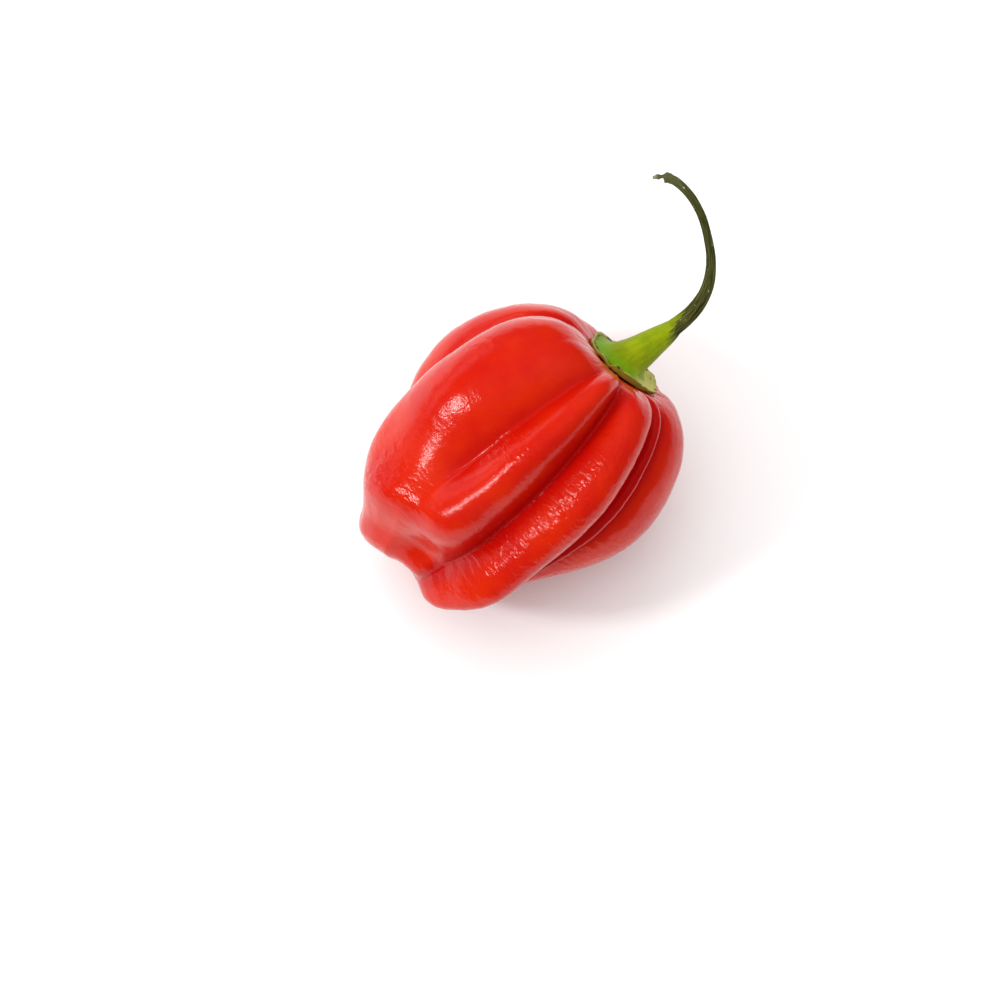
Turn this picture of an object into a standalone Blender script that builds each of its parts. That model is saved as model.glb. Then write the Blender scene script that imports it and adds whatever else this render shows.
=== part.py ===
"""A whole ripe habanero pepper, lying on its side on a small flat spot.

Three pieces: the lobed red fruit, the green calyx that sits in its crown, and
the dark curved stem that stands in the calyx. Each is modelled upright, in the
fruit's own frame: crown and stem up along +Z, and turns counted round Z from
the side that faces up once the pepper lies down. An empty lays all three down.
Metres, +Z up.
"""
from math import cos, pi, radians, sin

import bmesh
import bpy
import numpy as np
from mathutils import Vector

MM = 0.001
GAP = 0.3 * MM  # clearance between pieces that touch

# The pepper as it lies
STEM_RISE = radians(19)      # angle of the fruit's axis over the floor, stem end up
PRESSED_DEPTH = 0.65 * MM    # how much of the lowest lobe the floor presses flat

# Plain body of the fruit, before its lobes
HALF_LENGTH = 27.5 * MM
MID_RADIUS = 19.5 * MM
CROWN_WIDER = 2.3 * MM       # the crown end is wider by this and the tip end narrower
BELLY = 1.7 * MM
BELLY_POLAR = 78             # degrees from the crown
BELLY_SPREAD = 28            # degrees
BLUNTNESS = 0.5              # 1 is an ellipse, less is a squarer barrel
TIP_SWAY = -3.6 * MM         # how far the tip end leans towards turn -90

# Sunken crown, whose plane leans towards turn 0, and sunken blossom end. The lean
# fades between two radii, each with its change by the turn's cosine, in mm.
CROWN_DIP, CROWN_DIP_RADIUS = 2.25 * MM, 8.5 * MM
CROWN_LEAN = 0.17            # slope of the crown's plane
LEAN_FADES = (7.0, 2.0, 15.0, 3.0)
TIP_DIP, TIP_DIP_RADIUS = 3.5 * MM, 8.0 * MM
TIP_CUT = 4.0 * MM           # how much shorter the lobes that face up are at the tip end

# Furrows round the fruit, each with the lobe that follows it. Turns and polar
# angles are degrees, depths and crests are millimetres from the plain body.
#   bend: how far the furrow turns on its way down, counted from BEND_FROM_POLAR
#   fades_from, fades_over, left: polar angles where it gets shallow, and the share left
#   crest, low_crest, low_from: height of the lobe, and its height near the tip
#   fullness: the exponent of the lobe's arch, smaller is plumper
FURROWS = [
    dict(turn=-76, bend=-14, depth=5.2, fades_from=112, fades_over=30, left=0.25,
         crest=3.4, low_crest=2.0, low_from=130, fullness=0.5),
    dict(turn=-4, bend=-11, depth=2.2, fades_from=85, fades_over=35, left=-0.1,
         crest=2.0, low_crest=-2.4, low_from=108, fullness=0.9),
    dict(turn=24, bend=4, depth=3.0, fades_from=125, fades_over=35, left=1.0,
         crest=2.2, low_crest=1.4, low_from=120, fullness=0.6),
    dict(turn=60, bend=6, depth=5.0, fades_from=140, fades_over=35, left=0.5,
         crest=-2.0, low_crest=-2.0, low_from=120, fullness=0.75),
    dict(turn=72, bend=6, depth=5.0, fades_from=140, fades_over=35, left=0.4,
         crest=1.2, low_crest=-2.0, low_from=95, fullness=0.75),
    dict(turn=140, bend=0, depth=2.4, fades_from=125, fades_over=35, left=0.15,
         crest=0.9, low_crest=-1.6, low_from=100, fullness=0.75),
    dict(turn=224, bend=0, depth=2.6, fades_from=125, fades_over=35, left=0.15,
         crest=4.4, low_crest=0.6, low_from=85, fullness=0.6),
]
FURROW_ROUNDING = 0.18       # how rounded the bottom of each furrow is
BEND_FROM_POLAR = 60         # polar angle where a furrow stands at its stated turn

# Single swellings and dents: polar, turn and their spreads in degrees, height in mm
SWELLINGS = [
    (106, -48, 15, 16, -0.9),
    (68, -97, 36, 30, 2.4),
    (103, -80, 16, 20, 2.3),
    (132, -84, 18, 30, -3.2),
    (40, -27, 20, 6, -0.6),
    (143, 6, 22, 28, -2.6),
    (112, -6, 12, 20, 1.4),
    (146, -45, 16, 34, -2.0),
    (38, -62, 22, 22, 2.3),
    (136, 54, 24, 13, 2.8),
    (112, 104, 22, 22, -2.3),
    (118, -22, 10, 14, 0.6),
    (94, 182, 22, 40, 0.8),
    (116, -62, 12, 16, 1.1),
    (130, -26, 15, 26, 3.2),
    (121, 8, 10, 12, 0.8),
]

# Half section of the calyx, from under its middle out to the rim and up to the
# neck, in millimetres: radius, height, how far the height counts from the skin
# of the crown and not from the seat, and how far the point moves with the rim
SEAT_HEIGHT = 26.0 * MM
CALYX_SECTION = [
    (0.0, 0.3, 1.0, 0.0), (2.4, 0.3, 1.0, 0.0), (4.6, 0.3, 1.0, 0.0), (5.9, 0.3, 1.0, 0.6),
    (6.5, 0.35, 1.0, 1.0), (6.75, 0.95, 1.0, 1.0), (6.4, 1.0, 1.0, 1.0), (5.5, 0.75, 1.0, 0.3),
    (4.85, 0.95, 0.9, 0.0), (4.2, 1.35, 0.7, 0.0), (3.5, 2.2, 0.4, 0.0), (3.1, 3.2, 0.1, 0.0),
    (2.75, 4.8, 0.0, 0.0), (2.4, 6.6, 0.0, 0.0), (2.1, 8.2, 0.0, 0.0), (1.8, 9.6, 0.0, 0.0),
    (1.55, 10.4, 0.0, 0.0), (0.0, 10.4, 0.0, 0.0),
]
NECK_HEIGHT = CALYX_SECTION[-1][1] * MM

# Teeth, lifted stretches and the notch of the rim: turn and spread in degrees,
# then how far each moves the rim out and up in millimetres
RIM_SHAPE = [
    (-80, 13, 0.9, 0.1), (-38, 28, 0.0, -0.25), (-6, 9, -1.3, -0.4), (55, 35, 0.0, 0.45),
    (97, 14, 1.0, 0.4), (150, 16, 0.7, 0.2), (208, 18, 0.8, 0.2), (250, 12, 0.5, 0.1),
]

# Line of the calyx and the stem, from the seat to the broken end, in
# millimetres: x, y, z and the stem's radius there
STEM_LINE = [
    (0.0, 0.0, 26.0, 1.42), (0.0, 0.8, 30.5, 1.42), (-0.2, 2.0, 36.2, 1.42),
    (-0.1, 2.6, 41.2, 1.25), (0.2, 1.8, 45.2, 1.08), (0.6, -0.3, 48.5, 0.90),
    (1.2, -4.0, 51.7, 0.78), (1.6, -8.0, 53.9, 0.80), (1.9, -12.0, 54.8, 0.90),
    (1.9, -15.0, 54.5, 0.92), (1.9, -15.9, 54.1, 0.80), (1.9, -16.6, 53.6, 0.42),
    (1.8, -17.4, 52.7, 0.35),
]
STEM_RIBS = 5
RIB_HEIGHT = 0.09            # share of the radius

FRUIT_COLUMNS, FRUIT_RINGS = 90, 42
CALYX_COLUMNS = 56
STEM_STEPS = 40


def smooth_step(start, end, value):
    """0 below start, 1 above end, with an even rise between them."""
    share = np.clip((value - start) / (end - start), 0.0, 1.0)
    return share * share * (3.0 - 2.0 * share)


def furrow_depth(furrow, polar):
    """Depth of a furrow, which gets shallow towards the tip."""
    fading = smooth_step(furrow["fades_from"], furrow["fades_from"] + furrow["fades_over"], polar)
    return furrow["depth"] * (1.0 - (1.0 - furrow["left"]) * fading)


def lobe_arch(across, fullness):
    """Arch of a lobe: 0 in the furrows at 0 and 1, and 1 on the crest between."""
    wave = np.sin(pi * across)
    rounded = (wave ** 2 + FURROW_ROUNDING ** 2) ** (fullness / 2)
    return rounded - FURROW_ROUNDING ** fullness * (1.0 - wave)


def lobes(polar, turn):
    """Relief of the lobes over the plain body, and how far the skin there turns with
    its furrows on the way down, from degrees."""
    relief, bend = np.zeros_like(polar), np.zeros_like(polar)
    for furrow, following in zip(FURROWS, FURROWS[1:] + FURROWS[:1]):
        width = (following["turn"] - furrow["turn"]) % 360
        across = ((turn - furrow["turn"]) % 360) / width
        inside = across < 1.0
        across = np.clip(across, 0.0, 1.0)
        bottom = -furrow_depth(furrow, polar) * (1.0 - across)
        bottom -= furrow_depth(following, polar) * across
        low = smooth_step(furrow["low_from"], furrow["low_from"] + 40, polar)
        crest = furrow["crest"] * (1.0 - low) + furrow["low_crest"] * low
        height = bottom + (crest - bottom) * lobe_arch(across, furrow["fullness"])
        relief = np.where(inside, height, relief)
        bend = np.where(inside, furrow["bend"] * (1 - across) + following["bend"] * across, bend)
    return relief * MM, bend * (polar - BEND_FROM_POLAR) / BEND_FROM_POLAR


def swelling_relief(polar, turn):
    """Height of the single swellings and dents, from angles in degrees."""
    relief = np.zeros_like(polar)
    for at_polar, at_turn, polar_spread, turn_spread, height in SWELLINGS:
        down = (polar - at_polar) / polar_spread
        aside = ((turn - at_turn + 180) % 360 - 180) / turn_spread
        relief += height * MM * np.exp(-down ** 2 - aside ** 2)
    return relief


def crown_lean(radius, turn):
    """How far the crown's leaning plane lies under a level one."""
    start, start_change, end, end_change = np.array(LEAN_FADES) * MM
    side = np.cos(turn)
    fading = smooth_step(start + start_change * side, end + end_change * side, radius)
    return CROWN_LEAN * radius * side * (1.0 - fading)


def fruit_surface(polar, turn):
    """Points of the skin at polar angles from the crown and turns, both in radians.

    A column of points with one turn keeps its place between two furrows, so it
    bends with them.
    """
    polar_degrees = np.degrees(polar)
    relief, bend = lobes(polar_degrees, np.degrees(turn))
    turn = turn + np.radians(bend)
    along, across = np.cos(polar), np.abs(np.sin(polar))
    belly = BELLY * np.exp(-((polar_degrees - BELLY_POLAR) / BELLY_SPREAD) ** 2)
    radius = (MID_RADIUS + CROWN_WIDER * along + belly) * across ** BLUNTNESS
    relief_here = relief + swelling_relief(polar_degrees, np.degrees(turn))
    radius += relief_here * across ** 0.7
    height = HALF_LENGTH * along
    height -= CROWN_DIP * np.exp(-(radius / CROWN_DIP_RADIUS) ** 4) * (along > 0)
    height -= crown_lean(radius, turn) * (along > 0)
    height += TIP_DIP * np.exp(-(radius / TIP_DIP_RADIUS) ** 2) * (along < 0)
    facing_up = ((1.0 + np.cos(turn)) / 2) ** 2
    height += TIP_CUT * facing_up * smooth_step(112, 150, polar_degrees) * across ** 0.5
    height -= 0.30 * relief * np.exp(-((polar_degrees - 150) / 30) ** 2)
    sway = TIP_SWAY * ((1.0 - along) / 2) ** 2
    return np.stack([radius * np.cos(turn), radius * np.sin(turn) + sway, height], -1)


def crown_height(radius, turn):
    """Height of the skin at a radius from the axis and a turn, up on the crown."""
    polar = np.linspace(0.0, radians(70), 300)
    column = np.full_like(polar, turn)
    for _ in range(4):
        _, bend = lobes(np.degrees(polar), np.degrees(column))
        column = turn - np.radians(bend)
    points = fruit_surface(polar, column)
    return float(np.interp(radius, np.hypot(points[:, 0], points[:, 1]), points[:, 2]))


def lengths_to_points():
    """Length along the chords from the seat to each point of STEM_LINE."""
    steps = np.linalg.norm(np.diff(np.array(STEM_LINE)[:, :3] * MM, axis=0), axis=1)
    return np.concatenate([[0.0], np.cumsum(steps)])


def stem_line(distances):
    """Points and directions on the smooth line through STEM_LINE, by length from the seat."""
    points = np.array(STEM_LINE)[:, :3] * MM
    lengths = lengths_to_points()
    steps = np.diff(lengths)
    slopes = np.gradient(points, lengths, axis=0)
    slopes[0] = (0.0, 0.0, 1.0)
    distances = np.clip(distances, 0.0, lengths[-1])
    piece = np.clip(np.searchsorted(lengths, distances, "right") - 1, 0, len(steps) - 1)
    size = steps[piece][:, None]
    t = (distances - lengths[piece])[:, None] / size
    start, end = points[piece], points[piece + 1]
    start_slope, end_slope = slopes[piece] * size, slopes[piece + 1] * size
    place = ((2 * t**3 - 3 * t**2 + 1) * start + (t**3 - 2 * t**2 + t) * start_slope
             + (3 * t**2 - 2 * t**3) * end + (t**3 - t**2) * end_slope)
    heading = ((6 * t**2 - 6 * t) * (start - end) + (3 * t**2 - 4 * t + 1) * start_slope
               + (3 * t**2 - 2 * t) * end_slope)
    return place, heading / np.linalg.norm(heading, axis=1)[:, None]


def make_material(name, colour, roughness):
    """Principled material with one colour and roughness, not metallic."""
    material = bpy.data.materials.new(name)
    material.use_nodes = True
    shader = material.node_tree.nodes["Principled BSDF"]
    shader.inputs["Base Color"].default_value = (*colour, 1.0)
    shader.inputs["Roughness"].default_value = roughness
    shader.inputs["Metallic"].default_value = 0.0
    material.diffuse_color = (*colour, 1.0)
    return material


def make_object(name, bm, parent, collection, material):
    """Object from a bmesh, smooth shaded, with faces out, lying with the rest."""
    bmesh.ops.recalc_face_normals(bm, faces=bm.faces)
    mesh = bpy.data.meshes.new(name)
    bm.to_mesh(mesh)
    bm.free()
    mesh.shade_smooth()
    mesh.set_sharp_from_angle(angle=radians(45))
    mesh.materials.append(material)
    piece = bpy.data.objects.new(name, mesh)
    piece.parent = parent
    collection.objects.link(piece)
    return piece


def make_fruit(lying, collection):
    """Red body: a sphere whose points move onto the lobed skin, pressed flat below."""
    bm = bmesh.new()
    bmesh.ops.create_uvsphere(bm, u_segments=FRUIT_COLUMNS, v_segments=FRUIT_RINGS, radius=1.0)
    units = np.array([vertex.co for vertex in bm.verts])
    turn = np.arctan2(units[:, 1], units[:, 0])
    even = np.arccos(np.clip(units[:, 2], -1.0, 1.0))
    polar = 0.5 * even + 0.5 * pi * (1.0 - np.cos(even)) / 2
    for vertex, point in zip(bm.verts, fruit_surface(polar, turn)):
        vertex.co = Vector(point)
    spot, up = resting_spot()
    cut = bmesh.ops.bisect_plane(
        bm, geom=bm.verts[:] + bm.edges[:] + bm.faces[:], dist=0.01 * MM,
        plane_co=spot, plane_no=up, clear_inner=True)
    rim = [item for item in cut["geom_cut"] if isinstance(item, bmesh.types.BMEdge)]
    bmesh.ops.edgeloop_fill(bm, edges=rim)
    red = make_material("ripe red skin", (0.75, 0.02, 0.008), 0.25)
    return make_object("fruit", bm, lying, collection, red)


def resting_spot():
    """Middle of the spot that the floor presses flat on the lowest lobe, and the way up."""
    up = np.array((cos(STEM_RISE), 0.0, sin(STEM_RISE)))
    polar, turn = np.meshgrid(np.linspace(0.0, pi, 361), np.linspace(0.0, 2 * pi, 721))
    skin = fruit_surface(polar, turn).reshape(-1, 3)
    heights = skin @ up
    floor = heights.min() + PRESSED_DEPTH
    middle = skin[heights < floor].mean(axis=0)
    middle += (floor - middle @ up) * up
    return Vector(middle), Vector(up)


def rim_shape(turn):
    """How far the calyx's rim moves out and up at a turn in radians."""
    degrees = turn * 180 / pi
    reach, lift = 0.0, 0.0
    for at_turn, spread, out, up in RIM_SHAPE:
        aside = ((degrees - at_turn + 180) % 360 - 180) / spread
        near = np.exp(-aside ** 2)
        reach += out * near
        lift += up * near
    return reach, lift


def calyx_point(row, turn):
    """Point of the calyx on a row of its section, before it bends along the stem."""
    radius, rise, follow, rim = CALYX_SECTION[row]
    reach, lift = rim_shape(turn)
    radius += rim * reach
    if rise > 0.5:
        rise += rim * lift
    base = follow * crown_height(radius * MM, turn) + (1 - follow) * SEAT_HEIGHT
    return Vector((radius * MM * cos(turn), radius * MM * sin(turn), base + rise * MM))


def make_calyx(lying, collection):
    """Green funnel: a turned half section whose points then move onto the crown."""
    bm = bmesh.new()
    section = [bm.verts.new((row[0] * MM, 0.0, number * MM))
               for number, row in enumerate(CALYX_SECTION)]
    edges = [bm.edges.new(pair) for pair in zip(section, section[1:])]
    bmesh.ops.spin(bm, geom=section + edges, cent=(0, 0, 0), axis=(0, 0, 1),
                   angle=2 * pi, steps=CALYX_COLUMNS, use_merge=True)
    bmesh.ops.remove_doubles(bm, verts=bm.verts, dist=0.001 * MM)
    for vertex in bm.verts:
        row = round(vertex.co.z / MM)
        straight = calyx_point(row, float(np.arctan2(vertex.co.y, vertex.co.x)))
        follow = CALYX_SECTION[row][2]
        vertex.co = bent_along_stem(straight).lerp(straight, follow)
    green = make_material("green calyx", (0.22, 0.36, 0.02), 0.45)
    return make_object("calyx", bm, lying, collection, green)


def bent_along_stem(point):
    """Where a point over the seat goes when its height is measured along the stem's line."""
    places, headings = stem_line(np.array([point.z - SEAT_HEIGHT]))
    heading = Vector(headings[0])
    side = (Vector((1, 0, 0)) - heading * heading.x).normalized()
    front = heading.cross(side)
    return Vector(places[0]) + side * point.x + front * point.y


def make_stem_section(collection):
    """Closed ribbed outline that the stem's curve sweeps, at radius 1."""
    curve = bpy.data.curves.new("stem section", "CURVE")
    outline = curve.splines.new("POLY")
    corners = 3 * STEM_RIBS
    outline.points.add(corners - 1)
    for index, point in enumerate(outline.points):
        turn = 2 * pi * index / corners
        radius = 1.0 + RIB_HEIGHT * cos(STEM_RIBS * turn)
        point.co = (radius * cos(turn), radius * sin(turn), 0.0, 1.0)
    outline.use_cyclic_u = True
    section = bpy.data.objects.new("stem section", curve)
    section.hide_render = True
    section.display_type = "WIRE"
    collection.objects.link(section)
    return section


def make_stem(lying, collection, guides):
    """Dark stalk: a ribbed section swept along the stem's line, capped at both ends."""
    section = make_stem_section(guides)
    curve = bpy.data.curves.new("stem line", "CURVE")
    curve.dimensions = "3D"
    curve.twist_mode = "MINIMUM"
    curve.bevel_mode = "OBJECT"
    curve.bevel_object = section
    curve.use_fill_caps = True
    lengths = lengths_to_points()
    distances = np.linspace(NECK_HEIGHT + GAP, lengths[-1], STEM_STEPS)
    places, _ = stem_line(distances)
    radii = np.interp(distances, lengths, np.array(STEM_LINE)[:, 3] * MM)
    spline = curve.splines.new("POLY")
    spline.points.add(STEM_STEPS - 1)
    for point, place, radius in zip(spline.points, places, radii):
        point.co = (*place, 1.0)
        point.radius = float(radius)
    swept = bpy.data.objects.new("stem line", curve)
    guides.objects.link(swept)
    bpy.context.view_layer.update()
    evaluated = swept.evaluated_get(bpy.context.evaluated_depsgraph_get())
    mesh = bpy.data.meshes.new_from_object(evaluated)
    bm = bmesh.new()
    bm.from_mesh(mesh)
    bmesh.ops.remove_doubles(bm, verts=bm.verts, dist=0.001 * MM)
    bpy.data.objects.remove(swept)
    bpy.data.meshes.remove(mesh)
    olive = make_material("olive stem", (0.05, 0.055, 0.018), 0.7)
    return make_object("stem", bm, lying, collection, olive)


def make_lying_empty(collection):
    """Empty that lays the upright pieces on their side, with the resting spot's middle
    at the origin and the stem end towards +X."""
    spot, _ = resting_spot()
    lying = bpy.data.objects.new("lying pepper", None)
    lying.rotation_euler = (0.0, STEM_RISE - pi / 2, pi)
    lying.location = -(lying.rotation_euler.to_matrix() @ spot)
    collection.objects.link(lying)
    return lying


def main():
    for item in list(bpy.data.objects):
        bpy.data.objects.remove(item)
    pepper = bpy.data.collections.new("habanero pepper")
    guides = bpy.data.collections.new("guides")
    bpy.context.scene.collection.children.link(pepper)
    bpy.context.scene.collection.children.link(guides)
    lying = make_lying_empty(pepper)
    make_fruit(lying, pepper)
    make_calyx(lying, pepper)
    make_stem(lying, pepper, guides)
    bpy.context.view_layer.update()


main()
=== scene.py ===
# %% [markdown]
# # A ripe habanero pepper
#
# This lesson dresses one whole habanero pepper. The solids already exist: a lobed
# fruit, the calyx, which is the green cap of leaf tissue in its crown, and the dark
# stalk. They say where everything is and how big it is. The lesson builds each of
# the three again with far more detail, in the same place, and gives it a finish.
#
# The first step loads the solids and keeps their box, so that the finished pepper
# can be held against it at the end.

from math import cos, pi, radians, sin

import bmesh
import bpy
import numpy as np
from mathutils import Matrix, Vector


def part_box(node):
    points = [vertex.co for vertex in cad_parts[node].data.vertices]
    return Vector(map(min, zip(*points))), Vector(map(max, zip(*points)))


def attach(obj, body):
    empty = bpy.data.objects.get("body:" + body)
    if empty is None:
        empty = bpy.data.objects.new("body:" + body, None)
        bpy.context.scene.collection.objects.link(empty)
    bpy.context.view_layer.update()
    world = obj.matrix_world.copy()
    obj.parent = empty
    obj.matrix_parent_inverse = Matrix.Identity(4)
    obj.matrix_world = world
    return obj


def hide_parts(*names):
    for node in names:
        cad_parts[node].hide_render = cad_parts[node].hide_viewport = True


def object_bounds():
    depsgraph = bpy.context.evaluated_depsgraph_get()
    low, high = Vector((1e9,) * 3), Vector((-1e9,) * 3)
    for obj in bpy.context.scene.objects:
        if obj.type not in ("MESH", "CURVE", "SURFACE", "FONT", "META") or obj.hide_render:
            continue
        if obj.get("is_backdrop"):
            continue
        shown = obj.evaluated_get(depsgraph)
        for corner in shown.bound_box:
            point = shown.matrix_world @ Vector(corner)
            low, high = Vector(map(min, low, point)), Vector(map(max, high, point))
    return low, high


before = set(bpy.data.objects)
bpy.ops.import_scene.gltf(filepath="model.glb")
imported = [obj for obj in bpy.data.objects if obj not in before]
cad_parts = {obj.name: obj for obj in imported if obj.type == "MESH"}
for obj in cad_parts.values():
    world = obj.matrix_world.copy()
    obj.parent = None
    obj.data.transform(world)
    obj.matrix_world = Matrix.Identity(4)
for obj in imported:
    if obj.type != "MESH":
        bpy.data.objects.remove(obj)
solid_box = [[float(value) for value in corner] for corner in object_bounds()]
for name in sorted(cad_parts):
    low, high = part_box(name)
    print(name, "is", [round((b - a) * 1000, 1) for a, b in zip(low, high)], "mm")

# %% [markdown]
# ## The rule behind the fruit's shape
#
# A habanero grows as a squat lantern of three or four chambers, and each chamber
# swells into a lobe with a furrow on either side. A plain barrel carries that
# relief here. A point on the skin is named by its polar angle, counted from the
# crown, and by its turn round the axis. Furrows are lines of almost one turn,
# lobes are arches between them, and a few single swellings and dents make the
# fruit an individual. The numbers are the same ones that the solids were made
# with, because both must be the same pepper.

# %% Numbers of the fruit
MM = 0.001
STEM_RISE = radians(19)      # angle of the fruit's axis over the floor
PRESSED_DEPTH = 0.65 * MM    # how much of the lowest lobe the floor presses flat
HALF_LENGTH = 27.5 * MM
MID_RADIUS = 19.5 * MM
CROWN_WIDER = 2.3 * MM
BELLY, BELLY_POLAR, BELLY_SPREAD = 1.7 * MM, 78, 28
BLUNTNESS = 0.5              # 1 is an ellipse, less is a squarer barrel
RELIEF_FADE = 0.7            # less lets the relief reach closer to crown and tip
TIP_SWAY = -3.6 * MM
CROWN_DIP, CROWN_DIP_RADIUS = 2.25 * MM, 8.5 * MM
CROWN_LEAN = 0.17            # slope of the crown's plane
LEAN_FADES = (7.0, 2.0, 15.0, 3.0)  # from and to radii, each with its change at turn 0
CROWN_POLAR = 70             # the crown is searched for heights up to here
TIP_DIP, TIP_DIP_RADIUS = 3.5 * MM, 8.0 * MM
TIP_CUT, TIP_CUT_FROM, TIP_CUT_TO = 4.0 * MM, 112, 150
TIP_LOBES, TIP_LOBES_POLAR, TIP_LOBES_SPREAD = 0.30, 150, 30
FURROW_ROUNDING = 0.18
FURROW_REACH, DEEP_FURROW = 7.0, 5.0  # degrees and millimetres of the stored furrow closeness, painted as shade
LOW_CREST_OVER = 40
BEND_FROM_POLAR = 60

# Each furrow with the lobe that follows it, in degrees and millimetres: turn, bend,
# depth, fades from, fades over, share left, crest, low crest, low from, fullness
FURROWS = [
    (-76, -14, 5.2, 112, 30, 0.25, 3.4, 2.0, 130, 0.5),
    (-4, -11, 2.2, 85, 35, -0.1, 2.0, -2.4, 108, 0.9),
    (24, 4, 3.0, 125, 35, 1.0, 2.2, 1.4, 120, 0.6),
    (60, 6, 5.0, 140, 35, 0.5, -2.0, -2.0, 120, 0.75),
    (72, 6, 5.0, 140, 35, 0.4, 1.2, -2.0, 95, 0.75),
    (140, 0, 2.4, 125, 35, 0.15, 0.9, -1.6, 100, 0.75),
    (224, 0, 2.6, 125, 35, 0.15, 4.4, 0.6, 85, 0.6),
]

# Single swellings and dents: polar, turn, their spreads, height in millimetres
SWELLINGS = [
    (106, -48, 15, 16, -0.9), (68, -97, 36, 30, 2.4), (103, -80, 16, 20, 2.3),
    (132, -84, 18, 30, -3.2), (40, -27, 20, 6, -0.6), (143, 6, 22, 28, -2.6),
    (112, -6, 12, 20, 1.4), (146, -45, 16, 34, -2.0), (38, -62, 22, 22, 2.3),
    (136, 54, 24, 13, 2.8), (112, 104, 22, 22, -2.3), (118, -22, 10, 14, 0.6),
    (94, 182, 22, 40, 0.8), (116, -62, 12, 16, 1.1), (130, -26, 15, 26, 3.2),
    (121, 8, 10, 12, 0.8),
]
print("the fruit has", len(FURROWS), "furrows and", len(SWELLINGS), "single swellings or dents")


# %% Lobes and furrows
def smooth_step(start, end, value):
    """0 below start, 1 above end, with an even rise between them."""
    share = np.clip((value - start) / (end - start), 0.0, 1.0)
    return share * share * (3.0 - 2.0 * share)


def nearness(spot, polar, turn):
    """1 in the middle of a spot and less around it. The spot is polar, turn and their
    spreads, and all angles are in degrees."""
    down = (polar - spot[0]) / spot[2]
    aside = ((turn - spot[1] + 180) % 360 - 180) / spot[3]
    return np.exp(-down ** 2 - aside ** 2)


def furrow_depth(furrow, polar):
    """Depth of a furrow, which gets shallow towards the tip."""
    depth, fades_from, fades_over, left = furrow[2:6]
    return depth * (1.0 - (1.0 - left) * smooth_step(fades_from, fades_from + fades_over, polar))


def lobes(polar, turn):
    """Relief over the plain barrel, how far the skin turns with its furrows, and how
    close the nearest furrow is, from angles in degrees."""
    relief, bend, furrow_shade = np.zeros_like(polar), np.zeros_like(polar), np.zeros_like(polar)
    for furrow, following in zip(FURROWS, FURROWS[1:] + FURROWS[:1]):
        width = (following[0] - furrow[0]) % 360
        across = ((turn - furrow[0]) % 360) / width
        inside = across < 1.0
        across = np.clip(across, 0.0, 1.0)
        near, far = furrow_depth(furrow, polar), furrow_depth(following, polar)
        bottom = -near * (1.0 - across) - far * across
        crest, low_crest, low_from, fullness = furrow[6:10]
        lowered = smooth_step(low_from, low_from + LOW_CREST_OVER, polar)
        crest = crest + (low_crest - crest) * lowered
        wave = np.sin(pi * across)
        arch = (wave ** 2 + FURROW_ROUNDING ** 2) ** (fullness / 2)
        arch -= FURROW_ROUNDING ** fullness * (1.0 - wave)
        relief = np.where(inside, bottom + (crest - bottom) * arch, relief)
        bend = np.where(inside, furrow[1] * (1 - across) + following[1] * across, bend)
        # closeness to the furrows, which the red skin's finish paints as shade
        shade = near * np.exp(-(across * width / FURROW_REACH) ** 2)
        shade += far * np.exp(-((1.0 - across) * width / FURROW_REACH) ** 2)
        furrow_shade = np.where(inside, shade / DEEP_FURROW, furrow_shade)
    return relief * MM, bend * (polar - BEND_FROM_POLAR) / BEND_FROM_POLAR, furrow_shade


# %% Skin of the fruit
def crown_lean(radius, turn):
    """How far the crown's leaning plane lies under a level one."""
    start, start_change, end, end_change = np.array(LEAN_FADES) * MM
    side = np.cos(turn)
    fading = smooth_step(start + start_change * side, end + end_change * side, radius)
    return CROWN_LEAN * radius * side * (1.0 - fading)


def fruit_surface(polar, turn):
    """Points of the skin at polar angles and turns, both in radians, upright."""
    polar_degrees = np.degrees(polar)
    relief, bend, _ = lobes(polar_degrees, np.degrees(turn))
    turn = turn + np.radians(bend)
    along, across = np.cos(polar), np.abs(np.sin(polar))
    belly = BELLY * np.exp(-((polar_degrees - BELLY_POLAR) / BELLY_SPREAD) ** 2)
    radius = (MID_RADIUS + CROWN_WIDER * along + belly) * across ** BLUNTNESS
    swelling = np.zeros_like(polar)
    for spot in SWELLINGS:
        swelling += spot[4] * MM * nearness(spot, polar_degrees, np.degrees(turn))
    radius += (relief + swelling) * across ** RELIEF_FADE
    height = HALF_LENGTH * along
    height -= CROWN_DIP * np.exp(-(radius / CROWN_DIP_RADIUS) ** 4) * (along > 0)
    height -= crown_lean(radius, turn) * (along > 0)
    height += TIP_DIP * np.exp(-(radius / TIP_DIP_RADIUS) ** 2) * (along < 0)
    facing_up = ((1.0 + np.cos(turn)) / 2) ** 2
    cut = facing_up * smooth_step(TIP_CUT_FROM, TIP_CUT_TO, polar_degrees)
    height += TIP_CUT * cut * np.sqrt(across)
    near_tip = np.exp(-((polar_degrees - TIP_LOBES_POLAR) / TIP_LOBES_SPREAD) ** 2)
    height -= TIP_LOBES * relief * near_tip
    sway = TIP_SWAY * ((1.0 - along) / 2) ** 2
    return np.stack([radius * np.cos(turn), radius * np.sin(turn) + sway, height], -1)


def crown_heights(radii, turn):
    """Heights of the skin at radii from the axis and one turn, up on the crown."""
    polar = np.linspace(0.0, radians(CROWN_POLAR), 300)
    column = np.full_like(polar, turn)
    for _ in range(4):
        _, bend, _ = lobes(np.degrees(polar), np.degrees(column))
        column = turn - np.radians(bend)
    skin = fruit_surface(polar, column)
    return np.interp(radii, np.hypot(skin[:, 0], skin[:, 1]), skin[:, 2])


belly_ring = fruit_surface(np.full(360, radians(BELLY_POLAR)), np.radians(np.arange(360)))
widths = np.hypot(belly_ring[:, 0], belly_ring[:, 1]) * 1000
print("radius at the belly goes from", round(widths.min(), 1), "to", round(widths.max(), 1), "mm")


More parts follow.
